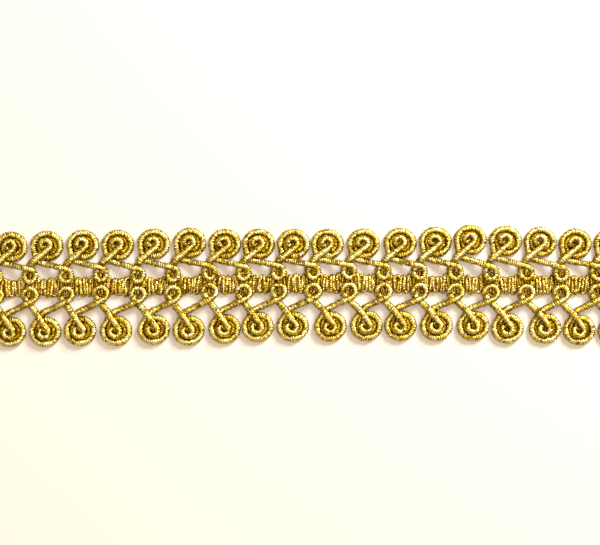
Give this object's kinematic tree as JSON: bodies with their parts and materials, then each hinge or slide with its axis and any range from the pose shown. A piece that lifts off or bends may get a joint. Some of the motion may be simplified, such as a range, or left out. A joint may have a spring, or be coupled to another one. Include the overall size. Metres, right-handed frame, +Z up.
{
  "type": "gimp braid trim",
  "caption": "Flat gold gimp braid: two wrapped gimp cords curl into rows of scrolls and cross into small loops, which a narrow stitched band holds along the middle.",
  "frame": {"origin": "middle of the braid's underside, on the surface it lies on", "axes": "+X along the braid, +Y across it towards the edge with the flatter leads, +Z up out of the surface"},
  "size_m": [0.1156, 0.0204, 0.0016],
  "materials": {
    "gimp_cord": "metallised yarn wrapped round a soft core, sparkling gold",
    "band_yarn": "metallised yarn stitches, sparkling gold"
  },
  "bodies": {
    "root": {"upper_gimp_cord": "gimp_cord", "lower_gimp_cord": "gimp_cord", "stitched_band": "band_yarn"}
  },
  "joints": []
}
